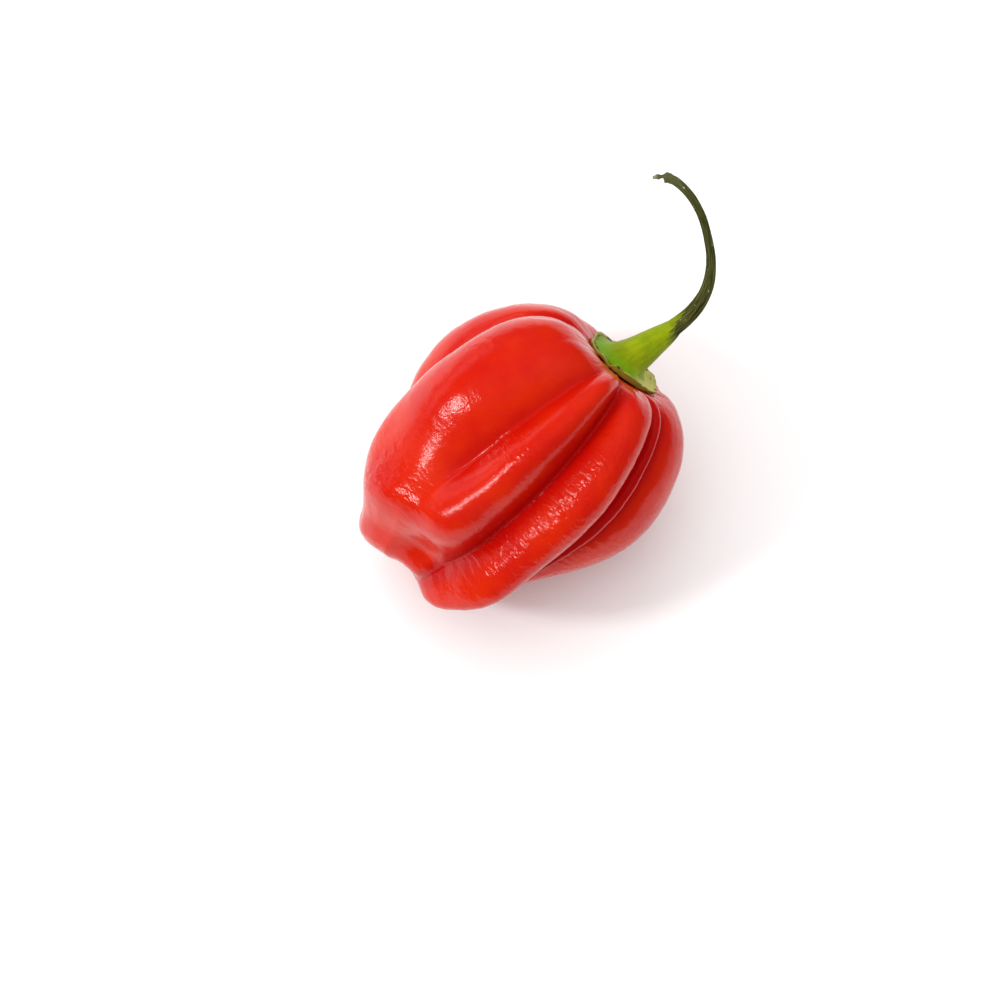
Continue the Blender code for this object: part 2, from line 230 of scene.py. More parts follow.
# %% [markdown]
# ## Laying it down
#
# Each piece is worked out upright, with the stalk up, which keeps the sums simple.
# One matrix then lays it on its side with the stalk end a little raised. The floor
# presses a small flat spot on the lowest lobe, and the middle of that spot is the
# origin. The turn goes into the mesh itself, so the objects stay unturned.

# %% Matrix that lays the pepper down
def laying_matrix():
    """Matrix from the upright fruit's frame to the floor's."""
    up = np.array((cos(STEM_RISE), 0.0, sin(STEM_RISE)))
    polar, turn = np.meshgrid(np.linspace(0.0, pi, 361), np.linspace(0.0, 2 * pi, 721))
    skin = fruit_surface(polar, turn).reshape(-1, 3)
    heights = skin @ up
    floor = heights.min() + PRESSED_DEPTH
    middle = skin[heights < floor].mean(axis=0)
    middle += (floor - middle @ up) * up
    turned = Matrix.Rotation(pi, 4, "Z") @ Matrix.Rotation(STEM_RISE - pi / 2, 4, "Y")
    return Matrix.Translation(-(turned @ Vector(middle))) @ turned


LYING = laying_matrix()
print("the fruit's middle lies", round(LYING.translation.z * 1000, 1), "mm over the floor")


# %% [markdown]
# ## Helpers for meshes and node trees
#
# Each main piece starts as a grid of points worked out by rule, closed into a
# skin. A node tree then adds what is too fine or too irregular for the rule. Small
# helpers keep both jobs short: one turns rows of points into a closed mesh and
# stores named values on its points, and the others add nodes with their inputs.

# %% Mesh from rings of points
MERGE_DISTANCE = 0.002 * MM


def ring_mesh(name, rings, values):
    """Closed mesh from rings of points, (ring, column, 3), whose first and last ring
    are each one point, with named values, (ring, column) or (ring, column, 3)."""
    ring_count, columns = rings.shape[:2]
    middle = rings[1:-1].reshape(-1, 3)
    points = np.concatenate([rings[:1, 0], middle, rings[-1:, 0]])
    last = len(points) - 1
    faces = []
    for row in range(ring_count - 3):
        for column in range(columns):
            a, b = 1 + row * columns + column, 1 + row * columns + (column + 1) % columns
            faces.append((a, b, b + columns, a + columns))
    for column in range(columns):
        following = (column + 1) % columns
        faces.append((0, 1 + following, 1 + column))
        faces.append((last, last - columns + column, last - columns + following))
    mesh = bpy.data.meshes.new(name)
    mesh.from_pydata(points.tolist(), [], faces)
    for label, value in values.items():
        flat = value.reshape(ring_count, columns, -1)
        flat = np.concatenate([flat[:1, 0], flat[1:-1].reshape(-1, flat.shape[-1]), flat[-1:, 0]])
        kind, field = ("FLOAT", "value") if flat.shape[1] == 1 else ("FLOAT_VECTOR", "vector")
        stored = mesh.attributes.new(label, kind, "POINT")
        stored.data.foreach_set(field, flat.astype(np.float32).ravel())
    bm = bmesh.new()
    bm.from_mesh(mesh)
    bmesh.ops.remove_doubles(bm, verts=bm.verts, dist=MERGE_DISTANCE)
    bmesh.ops.recalc_face_normals(bm, faces=bm.faces)
    bm.to_mesh(mesh)
    bm.free()
    mesh.shade_smooth()
    return mesh


def place_piece(name, mesh):
    """Object for a mesh that already holds its place in its points."""
    piece = bpy.data.objects.new(name, mesh)
    bpy.context.scene.collection.objects.link(piece)
    return piece


# %% Nodes and their inputs
FLOAT, COLOUR, VECTOR = "NodeSocketFloat", "NodeSocketColor", "NodeSocketVector"
GEOMETRY, MATERIAL = "NodeSocketGeometry", "NodeSocketMaterial"


def set_inputs(tree, node, inputs):
    """Sets each input of a node to a value, or links it to a socket."""
    for socket, value in inputs.items():
        if isinstance(value, bpy.types.NodeSocket):
            tree.links.new(value, node.inputs[socket])
        else:
            node.inputs[socket].default_value = value


def add_node(tree, kind, inputs, **settings):
    """A node with its settings and its inputs."""
    node = tree.nodes.new(kind)
    for name, value in settings.items():
        setattr(node, name, value)
    set_inputs(tree, node, inputs)
    return node


def source(tree, kind, output=0):
    """Output of a node that needs no inputs."""
    return tree.nodes.new(kind).outputs[output]


def math_node(tree, operation, first, second=0.0, third=0.0):
    """Output of a Math node."""
    inputs = {0: first, 1: second, 2: third}
    return add_node(tree, "ShaderNodeMath", inputs, operation=operation).outputs[0]


def math_chain(tree, operation, values):
    """Output of one Math operation over two or more values."""
    result = values[0]
    for value in values[1:]:
        result = math_node(tree, operation, result, value)
    return result


def times(tree, *factors):
    """Product of values."""
    return math_chain(tree, "MULTIPLY", factors)


def plus(tree, *terms):
    """Sum of values."""
    return math_chain(tree, "ADD", terms)


def per(tree, size):
    """1 over a size, which is the scale of a pattern of that size."""
    return math_node(tree, "DIVIDE", 1.0, size)


# %% Ramps, noises and colours
def ramp(tree, value, start, end, low=0.0, high=1.0, kind="LINEAR"):
    """Goes from low to high while the value goes from start to end."""
    inputs = {0: value, 1: start, 2: end, 3: low, 4: high}
    return add_node(tree, "ShaderNodeMapRange", inputs, interpolation_type=kind).outputs[0]


def rise(tree, value, start, end):
    """Goes softly from 0 to 1 while the value goes from start to end."""
    return ramp(tree, value, start, end, kind="SMOOTHSTEP")


def cloud(tree, place, scale, detail=2.0, roughness=0.5):
    """Output of a noise from 0 to 1."""
    inputs = {"Vector": place, "Scale": scale, "Detail": detail, "Roughness": roughness}
    return add_node(tree, "ShaderNodeTexNoise", inputs).outputs[0]


def stretched(tree, grown, times_round, times_along):
    """Place on the growth, scaled round the piece and along it on its own."""
    scales = add_node(tree, "ShaderNodeCombineXYZ",
                      {0: times_round, 1: times_round, 2: times_along})
    inputs = {0: grown, 1: scales.outputs[0]}
    return add_node(tree, "ShaderNodeVectorMath", inputs, operation="MULTIPLY").outputs[0]


def blend_colours(tree, share, first, second):
    """Colour that goes from first to second with a share."""
    inputs = {0: share, 6: first, 7: second}
    return add_node(tree, "ShaderNodeMix", inputs, data_type="RGBA").outputs[2]


# %% Trees
def new_tree(name, kind, inputs, outputs):
    """Node tree with named inputs, each a number, a socket type or both, and outputs,
    {name: socket type}, with the sockets that give its inputs and its end node."""
    tree = bpy.data.node_groups.new(name, kind)
    for label, value in inputs.items():
        if isinstance(value, float):
            value = (FLOAT, value)
        socket_type, *default = (value,) if isinstance(value, str) else value
        socket = tree.interface.new_socket(label, in_out="INPUT", socket_type=socket_type)
        if default:
            socket.default_value = default[0]
    for label, socket_type in outputs.items():
        tree.interface.new_socket(label, in_out="OUTPUT", socket_type=socket_type)
    return tree, tree.nodes.new("NodeGroupInput").outputs, tree.nodes.new("NodeGroupOutput")


def end_tree(tree, end, results):
    """Links a tree's results to its end node and says how big the tree is."""
    set_inputs(tree, end, results)
    print("node tree", tree.name, "has", len(tree.nodes), "nodes")
    return tree


def end_relief(tree, end, geometry, height, finish):
    """Ends a geometry tree: its points move along their normals by a height in metres,
    and the result is made real and gets its finish."""
    normal = source(tree, "GeometryNodeInputNormal")
    offset = add_node(tree, "ShaderNodeVectorMath", {0: normal, "Scale": height}, operation="SCALE")
    moved = add_node(tree, "GeometryNodeSetPosition",
                     {"Geometry": geometry, "Offset": offset.outputs[0]})
    smooth = add_node(tree, "GeometryNodeSetShadeSmooth", {"Geometry": moved.outputs[0]})
    real = add_node(tree, "GeometryNodeRealizeInstances", {0: smooth.outputs[0]})
    dressed = add_node(tree, "GeometryNodeSetMaterial",
                       {"Geometry": real.outputs[0], "Material": finish})
    return end_tree(tree, end, {0: dressed.outputs[0]})


def read_points(tree, name, kind="FLOAT"):
    """Output of a geometry tree's node that reads a value stored on the points."""
    reader = add_node(tree, "GeometryNodeInputNamedAttribute", {"Name": name}, data_type=kind)
    return reader.outputs[0]


def run_tree(piece, tree, inputs):
    """Gives the piece the result of a geometry tree as a plain mesh."""
    modifier = piece.modifiers.new(tree.name, "NODES")
    modifier.node_group = tree
    sockets = {item.name: item.identifier for item in tree.interface.items_tree
               if getattr(item, "in_out", "") == "INPUT"}
    for label, value in inputs.items():
        modifier[sockets[label]] = value
    graph = bpy.context.evaluated_depsgraph_get()
    mesh = bpy.data.meshes.new_from_object(piece.evaluated_get(graph), depsgraph=graph)
    piece.modifiers.remove(modifier)
    if piece.type != "MESH":
        name = piece.name
        bpy.data.objects.remove(piece)
        piece = place_piece(name, mesh)
    piece.data = mesh
    mesh.name = piece.name
    return piece


print("helpers are ready")


# %% [markdown]
# ## Shader groups that the finishes share
#
# Some effects come back in the finishes of this pepper. Plant skin is never one
# colour: it drifts in soft patches. Stalk and calyx are bundles of fibres, so
# their colour runs in long thin streaks. Everything has a very fine grain that
# roughens the light, and the fruit's skin has wrinkles across its growth. Each
# effect is a node group, so each material only sets its own sizes and colours.

# %% Soft patches of colour
def build_soft_patches():
    """Group that drifts between two colours in soft patches."""
    tree, given, end = new_tree(
        "soft patches", "ShaderNodeTree",
        {"Place": VECTOR, "Patch Size": 6 * MM, "Sharpness": 2.0,
         "Colour": (COLOUR, (1, 1, 1, 1)), "Patch Colour": (COLOUR, (0, 0, 0, 1))},
        {"Colour": COLOUR, "Patch": FLOAT})
    noise = cloud(tree, given["Place"], per(tree, given["Patch Size"]), 3.0, 0.55)
    half_width = math_node(tree, "DIVIDE", 0.5, given["Sharpness"])
    patch = rise(tree, noise, math_node(tree, "SUBTRACT", 0.5, half_width),
                 plus(tree, 0.5, half_width))
    colour = blend_colours(tree, patch, given["Colour"], given["Patch Colour"])
    return end_tree(tree, end, {"Colour": colour, "Patch": patch})


SOFT_PATCHES = build_soft_patches()


# %% Streaks along the fibres
def build_long_streaks():
    """Group with thin streaks along the last axis of the place that it is given."""
    tree, given, end = new_tree(
        "long streaks", "ShaderNodeTree",
        {"Place": VECTOR, "Streaks Round": 6.0, "Streak Length": 8 * MM,
         "Contrast": 3.0},
        {"Streak": FLOAT})
    place = stretched(tree, given["Place"], given["Streaks Round"],
                      per(tree, given["Streak Length"]))
    centred = math_node(tree, "SUBTRACT", cloud(tree, place, 1.0, 4.0, 0.6), 0.5)
    streak = add_node(tree, "ShaderNodeMath", {0: centred, 1: given["Contrast"], 2: 0.5},
                      operation="MULTIPLY_ADD", use_clamp=True)
    return end_tree(tree, end, {"Streak": streak.outputs[0]})


LONG_STREAKS = build_long_streaks()


# %% Fine grain
def build_fine_grain():
    """Group with the height of a very fine grain, soft cells over a finer noise."""
    tree, given, end = new_tree(
        "fine grain", "ShaderNodeTree",
        {"Place": VECTOR, "Grain Size": 0.4 * MM, "Cells": 0.5},
        {"Height": FLOAT})
    scale = per(tree, given["Grain Size"])
    noise = cloud(tree, given["Place"], scale, 3.0, 0.6)
    cells = add_node(tree, "ShaderNodeTexVoronoi", {"Vector": given["Place"], "Scale": scale},
                     feature="SMOOTH_F1")
    height = add_node(tree, "ShaderNodeMix",
                      {0: given["Cells"], 2: noise, 3: cells.outputs["Distance"]})
    return end_tree(tree, end, {"Height": height.outputs[0]})


FINE_GRAIN = build_fine_grain()


# %% Fine wrinkles
WRINKLE_STRENGTH = (0.22, 1.5)  # on smooth skin and in a wrinkled patch


def build_fine_wrinkles():
    """Group with the height of fine wrinkles that run across the way the skin grew."""
    tree, given, end = new_tree(
        "fine wrinkles", "ShaderNodeTree",
        {"Grown": VECTOR, "Wrinkled": 0.0, "Wrinkles Round": 13.0,
         "Wrinkle Size": 1.0 * MM},
        {"Height": FLOAT})
    place = stretched(tree, given["Grown"], given["Wrinkles Round"],
                      per(tree, given["Wrinkle Size"]))
    strength = ramp(tree, given["Wrinkled"], 0.0, 1.0, *WRINKLE_STRENGTH)
    height = times(tree, cloud(tree, place, 1.0, 2.5, 0.55), strength)
    return end_tree(tree, end, {"Height": height})


FINE_WRINKLES = build_fine_wrinkles()


# %% Helpers for materials
def new_finish(name):
    """Empty material with its tree, its Principled shader and its Object coordinates."""
    material = bpy.data.materials.new(name)
    material.use_nodes = True
    tree = material.node_tree
    place = source(tree, "ShaderNodeTexCoord", "Object")
    return material, tree, tree.nodes["Principled BSDF"], place


def use_group(tree, group, inputs):
    """Outputs of a group node whose inputs are set or linked."""
    return add_node(tree, "ShaderNodeGroup", inputs, node_tree=group).outputs


def stored_value(tree, name, output="Fac"):
    """Output of a material's node that reads a value stored on the points."""
    return add_node(tree, "ShaderNodeAttribute", {}, attribute_name=name).outputs[output]


def grown_place(tree):
    """Place along the growth that is stored on the points, and its length."""
    grown = stored_value(tree, "grown", "Vector")
    return grown, add_node(tree, "ShaderNodeSeparateXYZ", {0: grown}).outputs[2]


def dress_shader(tree, shader, colour, roughness, specular, height, distance):
    """Feeds a shader, with a bump from a height in which 1 is the distance in metres."""
    bump = add_node(tree, "ShaderNodeBump",
                    {"Strength": 1.0, "Distance": distance, "Height": height})
    set_inputs(tree, shader, {"Base Color": colour, "Roughness": roughness, "Metallic": 0.0,
                              "Specular IOR Level": specular, "Normal": bump.outputs[0]})


print("finish helpers are ready")

# %% [markdown]
# ## The fruit's base skin
#
# The rings are spaced evenly along the profile, because the barrel is so blunt
# that even steps of the polar angle would leave the ends coarse. Some values are
# stored on the points for the later steps: how close a furrow is, for the shade
# that is painted into the furrows, how close the crown is, and a place that runs
# along the lobes, so that a pattern can follow the way the fruit grew. Two more
# say where the skin is finely wrinkled and where its wax is worn dull, because
# the photograph's highlights change from patch to patch.

# %% Rings of the fruit
SKIN_COLUMNS, SKIN_RINGS, PROFILE_STEPS = 360, 236, 4000
FURROW_SHADE_STARTS = (4, 20)      # polar angles between which the painted furrow shade sets in
CROWN_ENDS = (8 * MM, 24 * MM)  # lengths from the seat between which the crown ends
TIP_LENGTH = 16 * MM

# Patches where the skin is finely wrinkled: polar, turn, their spreads and how strong
WRINKLED = [
    (62, 34, 16, 13, 1.0), (84, 34, 16, 15, 1.0), (106, 32, 14, 14, 1.0), (77, 4, 9, 12, 0.9),
    (118, -30, 12, 26, 0.6), (96, -62, 10, 14, 0.6), (60, -50, 10, 12, 0.6),
    (100, 100, 30, 25, 0.6), (80, 190, 30, 30, 0.6),
]

# Patches where the wax is worn dull
DULL = [
    (101, -16, 10, 14, 1.0), (100, 8, 12, 9, 1.0), (112, 60, 14, 10, 1.0), (40, 0, 14, 60, 1.0),
    (45, 150, 20, 30, 1.0),
]


def patch_share(patches, polar, turn):
    """How far points at angles in degrees belong to one of some patches, 0 to 1."""
    share = np.zeros_like(polar)
    for patch in patches:
        share = np.maximum(share, patch[4] * nearness(patch, polar, turn))
    return share


def even_polar_angles(count):
    """Polar angles at even steps along the plain barrel's profile, and those steps."""
    polar = pi * (1 - np.cos(np.linspace(0.0, pi, PROFILE_STEPS + 1))) / 2
    radius = (MID_RADIUS + CROWN_WIDER * np.cos(polar)) * np.abs(np.sin(polar)) ** BLUNTNESS
    steps = np.hypot(np.diff(radius), np.diff(HALF_LENGTH * np.cos(polar)))
    length = np.concatenate([[0.0], np.cumsum(steps)])
    even = np.linspace(0.0, length[-1], count)
    return np.interp(even, length, polar), even


def make_base_skin():
    """Fruit's skin by rule, lying on the floor."""
    polar_row, length_row = even_polar_angles(SKIN_RINGS)
    turn_row = np.linspace(0.0, 2 * pi, SKIN_COLUMNS, endpoint=False)
    polar, turn = np.meshgrid(polar_row, turn_row, indexing="ij")
    points = fruit_surface(polar, turn)
    length = np.broadcast_to(length_row[:, None], polar.shape)
    degrees = np.degrees(polar), np.degrees(turn)
    values = {
        # closeness to the furrows, which the red skin paints as shade
        "furrow_shade": lobes(*degrees)[2] * smooth_step(*FURROW_SHADE_STARTS, degrees[0]),
        "crown": 1.0 - smooth_step(*CROWN_ENDS, length),
        "tip": smooth_step(length_row[-1] - TIP_LENGTH, length_row[-1], length),
        "grown": np.stack([np.cos(turn), np.sin(turn), length], -1),
        "wrinkled": patch_share(WRINKLED, *degrees),
        "dull": patch_share(DULL, *degrees),
    }
    mesh = ring_mesh("fruit_skin_detail", points, values)
    mesh.transform(LYING)
    return place_piece("fruit_skin_detail", mesh)


fruit = make_base_skin()
print("base skin has", len(fruit.data.polygons), "faces")

# %% [markdown]
# ## Relief of the living skin
#
# A real habanero's gloss breaks up into ragged patches, because its skin is never
# quite smooth. Broad ripples come from uneven growth, finer ones run across the
# lobes, soft ridges run along them, and folds run down from the calyx where the
# shoulders are gathered in. A geometry tree pushes the points along their normals
# by noises of those kinds. It has an input for every height and size, in
# millimetres, for how dense a noise is round the fruit, and per metre along it.

# %% Tree of the skin relief
RELIEF_SIZES = {
    "Ripple Height": 0.30, "Ripple Size": 6.0,
    "Cross Ripple Height": 0.14, "Cross Ripples Round": 2.6, "Cross Ripple Size": 1.6,
    "Ridge Height": 0.55, "Ridges Round": 3.2, "Ridges Along": 28.0,
    "Fold Height": 0.90, "Folds Round": 4.2, "Folds Along": 60.0,
    "Dimple Height": 0.05, "Dimple Size": 1.4,
}


def per_millimetres(tree, size):
    """Scale of a pattern whose size is given in millimetres."""
    return math_node(tree, "DIVIDE", 1.0 / MM, size)


def noise_height(tree, place, scale, height, detail=2.0):
    """A noise around zero, at most about half a height in millimetres up or down."""
    centred = math_node(tree, "SUBTRACT", cloud(tree, place, scale, detail), 0.5)
    return times(tree, centred, height, MM)


def build_skin_relief():
    """Tree that adds ripples, cross ripples, ridges, crown folds and dimples."""
    inputs = {"Skin": GEOMETRY, "Finish": MATERIAL, **RELIEF_SIZES}
    tree, given, end = new_tree("skin relief", "GeometryNodeTree", inputs, {"Skin": GEOMETRY})
    place = source(tree, "GeometryNodeInputPosition")
    grown = read_points(tree, "grown", "FLOAT_VECTOR")
    ripple_scale = per_millimetres(tree, given["Ripple Size"])
    ripple = noise_height(tree, place, ripple_scale, given["Ripple Height"], 1.0)
    cross_place = stretched(tree, grown, given["Cross Ripples Round"],
                            per_millimetres(tree, given["Cross Ripple Size"]))
    cross = noise_height(tree, cross_place, 1.0, given["Cross Ripple Height"])
    ridge_place = stretched(tree, grown, given["Ridges Round"], given["Ridges Along"])
    ridge = noise_height(tree, ridge_place, 1.0, given["Ridge Height"], 1.0)
    fold_place = stretched(tree, grown, given["Folds Round"], given["Folds Along"])
    fold = noise_height(tree, fold_place, 1.0, given["Fold Height"])
    fold = times(tree, fold, read_points(tree, "crown"))
    dimple_scale = per_millimetres(tree, given["Dimple Size"])
    dimple = noise_height(tree, place, dimple_scale, given["Dimple Height"])
    height = plus(tree, ripple, cross, fold, dimple, ridge)
    return end_relief(tree, end, given["Skin"], height, given["Finish"])


SKIN_RELIEF = build_skin_relief()


# %% [markdown]
# ## The red skin's finish
#
# The ripe skin is a strong orange red on the lobes, and the furrows get a deeper red
# that is painted shade. Its wax is thin and follows every wrinkle, so the gloss
# comes from the base layer of the shader, where the bump breaks it up. A separate
# coat would lie over the wrinkles like glass. Where the wax is worn, a stored value
# makes the skin rougher. The painted shade in the furrows comes from a value stored
# on the points, not from the light, and so does the small brown scar at the tip,
# where the flower sat.

# %% Red skin
LOBE_RED, PATCH_RED = (0.60, 0.017, 0.001, 1), (0.53, 0.006, 0.001, 1)
# The furrow red is painted shade, a deeper red that stands in for the shade in the furrows
FURROW_SHADE_RED, SHOULDER_RED = (0.44, 0.001, 0.001, 1), (0.52, 0.010, 0.006, 1)
SCAR_BROWN = (0.20, 0.09, 0.02, 1)
WAXY_ROUGHNESS, DULLER = (0.15, 0.20), 0.06


def make_red_skin():
    """Waxy ripe red skin."""
    material, tree, shader, place = new_finish("ripe red skin")
    patches = use_group(tree, SOFT_PATCHES, {
        "Place": place, "Patch Size": 9 * MM, "Sharpness": 2.2,
        "Colour": LOBE_RED, "Patch Colour": PATCH_RED})
    # Painted shade: the skin is blended to a deeper red by how close a furrow is
    furrow_shade = rise(tree, stored_value(tree, "furrow_shade"), 0.05, 0.7)
    colour = blend_colours(tree, furrow_shade, patches["Colour"], FURROW_SHADE_RED)
    crown = times(tree, stored_value(tree, "crown"), 0.5)
    colour = blend_colours(tree, crown, colour, SHOULDER_RED)
    scar = rise(tree, stored_value(tree, "tip"), 0.988, 0.996)
    colour = blend_colours(tree, scar, colour, SCAR_BROWN)
    waxy = ramp(tree, patches["Patch"], 0.0, 1.0, *WAXY_ROUGHNESS)
    rough = math_node(tree, "MULTIPLY_ADD", stored_value(tree, "dull"), DULLER, waxy)
    grain = use_group(tree, FINE_GRAIN, {"Place": place, "Grain Size": 0.40 * MM, "Cells": 0.4})
    wrinkles = use_group(tree, FINE_WRINKLES, {"Grown": stored_value(tree, "grown", "Vector"),
                                               "Wrinkled": stored_value(tree, "wrinkled")})
    height = math_node(tree, "MULTIPLY_ADD", grain["Height"], 0.15, wrinkles["Height"])
    dress_shader(tree, shader, colour, rough, 0.30, height, 0.30 * MM)
    return material


red_skin = make_red_skin()
fruit = run_tree(fruit, SKIN_RELIEF, {"Finish": red_skin})
print("fruit has", len(fruit.data.polygons), "faces after its relief")


# %% Press the resting spot flat
def press_flat(piece):
    """Moves points that are under the floor up to it."""
    count = len(piece.data.vertices)
    points = np.empty(count * 3, np.float32)
    piece.data.vertices.foreach_get("co", points)
    points = points.reshape(-1, 3)
    under = points[:, 2] < 0
    points[under, 2] = 0.0
    piece.data.vertices.foreach_set("co", points.ravel())
    piece.data.update()
    return int(under.sum())


print(press_flat(fruit), "points rest on the floor")
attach(fruit, "root")
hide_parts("fruit")

# %% [markdown]
# ## The line of the calyx and the stalk
#
# The calyx's cone leans over into the stalk, and the stalk sweeps round like a
# hook. Both follow one smooth line through measured points. Points of a piece are
# first placed round a straight axis, and then the axis is bent onto the line.

# %% Smooth line
SEAT_HEIGHT = 26.0 * MM
# Along the line in millimetres: x, y, z and the stalk's radius
STEM_LINE = np.array([
    (0.0, 0.0, 26.0, 1.42), (0.0, 0.8, 30.5, 1.42), (-0.2, 2.0, 36.2, 1.42),
    (-0.1, 2.6, 41.2, 1.20), (0.2, 1.8, 45.2, 1.00), (0.6, -0.3, 48.5, 0.80),
    (1.2, -4.0, 51.7, 0.68), (1.6, -8.0, 53.9, 0.66), (1.9, -12.0, 54.8, 0.68),
    (1.9, -15.0, 54.5, 0.76), (1.9, -15.9, 54.1, 0.84), (1.9, -16.1, 53.97, 0.36),
    (1.9, -16.6, 53.6, 0.28), (1.8, -17.1, 53.1, 0.40), (1.8, -17.4, 52.7, 0.30),
]) * MM
LINE_LENGTHS = np.concatenate(
    [[0.0], np.cumsum(np.linalg.norm(np.diff(STEM_LINE[:, :3], axis=0), axis=1))])


def stem_line(distances):
    """Points and directions on the smooth line, by length from the seat."""
    points, lengths = STEM_LINE[:, :3], LINE_LENGTHS
    steps = np.diff(lengths)
    slopes = np.gradient(points, lengths, axis=0)
    slopes[0] = (0.0, 0.0, 1.0)
    distances = np.clip(distances, 0.0, lengths[-1])
    piece = np.clip(np.searchsorted(lengths, distances, "right") - 1, 0, len(steps) - 1)
    size = steps[piece][:, None]
    t = (distances - lengths[piece])[:, None] / size
    start, end = points[piece], points[piece + 1]
    start_slope, end_slope = slopes[piece] * size, slopes[piece + 1] * size
    places = ((2 * t**3 - 3 * t**2 + 1) * start + (t**3 - 2 * t**2 + t) * start_slope
              + (3 * t**2 - 2 * t**3) * end + (t**3 - t**2) * end_slope)
    headings = ((6 * t**2 - 6 * t) * (start - end) + (3 * t**2 - 4 * t + 1) * start_slope
                + (3 * t**2 - 2 * t) * end_slope)
    return places, headings / np.linalg.norm(headings, axis=1)[:, None]


def bent_along_stem(points):
    """Where points over the seat go when their height is measured along the line."""
    places, headings = stem_line(points[:, 2] - SEAT_HEIGHT)
    side = np.array((1.0, 0.0, 0.0)) - headings * headings[:, :1]
    side /= np.linalg.norm(side, axis=1)[:, None]
    front = np.cross(headings, side)
    return places + side * points[:, :1] + front * points[:, 1:2]


print("the line from the seat to the broken end is", round(LINE_LENGTHS[-1] * 1000, 1), "mm long")

# %% [markdown]
# ## The calyx
#
# The calyx is what is left of the flower: a fleshy cone that narrows into the
# stalk, on a thin saucer that clasps the crown. The saucer's rim has dried to a
# pale lip with a few blunt teeth, a notch and dark scars. It is turned from a half
# section, as on a lathe, and then each point moves with the rim's teeth and onto
# the crown's skin.

# %% Section and rim of the calyx
# Radius, height, how far the height counts from the skin and not from the seat,
# how far the point moves with the rim, and how far the foot's filling lifts it, in
# millimetres
CALYX_SECTION = np.array([
    (0.0, 0.3, 1.0, 0.0, 0.0), (2.4, 0.3, 1.0, 0.0, 0.0), (4.6, 0.3, 1.0, 0.0, 0.0),
    (5.9, 0.25, 1.0, 0.6, 0.0), (6.45, 0.25, 1.0, 1.0, 0.0), (6.72, 0.6, 1.0, 1.0, 0.0),
    (6.82, 0.95, 1.0, 1.0, 0.0), (6.72, 1.08, 1.0, 1.0, 0.0), (6.5, 0.98, 1.0, 1.0, 0.0),
    (6.1, 0.85, 1.0, 0.8, 0.25), (5.5, 0.75, 1.0, 0.3, 0.55), (4.85, 0.95, 0.9, 0.0, 0.65),
    (4.2, 1.35, 0.7, 0.0, 0.55), (3.5, 2.2, 0.4, 0.0, 0.25), (3.1, 3.2, 0.1, 0.0, 0.0),
    (2.75, 4.8, 0.0, 0.0, 0.0), (2.4, 6.6, 0.0, 0.0, 0.0), (2.1, 8.2, 0.0, 0.0, 0.0),
    (1.8, 9.6, 0.0, 0.0, 0.0), (1.58, 10.5, 0.0, 0.0, 0.0), (1.38, 11.0, 0.0, 0.0, 0.0),
    (0.0, 11.0, 0.0, 0.0, 0.0),
])
# Turn, spread, how far out and how far up each tooth, lift or notch moves the rim
RIM_SHAPE = [
    (-92, 13, 0.3, 0.25), (-60, 7, 0.3, -0.1), (-38, 24, 0.0, -0.45), (-22, 5, 0.2, 0.1),
    (-6, 7, -1.0, -0.5), (8, 6, 0.2, 0.15), (30, 26, 0.0, 0.35), (64, 7, 0.25, 0.15),
    (88, 22, 0.0, -0.35), (95, 9, 0.5, 0.0), (150, 16, 0.7, 0.2), (208, 18, 0.8, 0.2),
    (250, 12, 0.5, 0.1),
]
FILLED_TURN = -50            # side on which the cone's foot fills the saucer, in degrees
FILLED_FADE = (-0.75, 0.1)   # cosines of the turn from there between which it sets in
RIM_LIFTS_FROM = 0.5         # height in millimetres over which points rise with the rim
BARK_STARTS, BARK_SLANT, BARK_SOFTNESS = 11.6 * MM, 2.6 * MM, 2.2 * MM
BARK_LATEST_TURN = -100      # side on which the green reaches furthest up, in degrees
CALYX_COLUMNS, ROWS_EACH = 180, 5
print("the calyx's section has", len(CALYX_SECTION), "points and its rim", len(RIM_SHAPE),
      "teeth, lifts and notches")


def rim_shape(turn):
    """How far the rim moves out and up at turns in radians, in millimetres."""
    reach, lift = np.zeros_like(turn), np.zeros_like(turn)
    for at_turn, spread, out, up in RIM_SHAPE:
        near = np.exp(-(((np.degrees(turn) - at_turn + 180) % 360 - 180) / spread) ** 2)
        reach += out * near
        lift += up * near
    return reach, lift


def filled_foot(turn):
    """How much the cone's foot fills the saucer at turns in radians, 0 to 1."""
    return smooth_step(*FILLED_FADE, np.cos(turn - radians(FILLED_TURN)))


def rounded_section():
    """The section with more rows and its corners rounded, and each row's old number."""
    old = np.arange(len(CALYX_SECTION))
    rows = np.linspace(0, old[-1], old[-1] * ROWS_EACH + 1)
    dense = np.stack([np.interp(rows, old, column) for column in CALYX_SECTION.T], 1)
    for _ in range(3):
        dense[1:-1] = (dense[:-2] + 2 * dense[1:-1] + dense[2:]) / 4
    return dense, rows


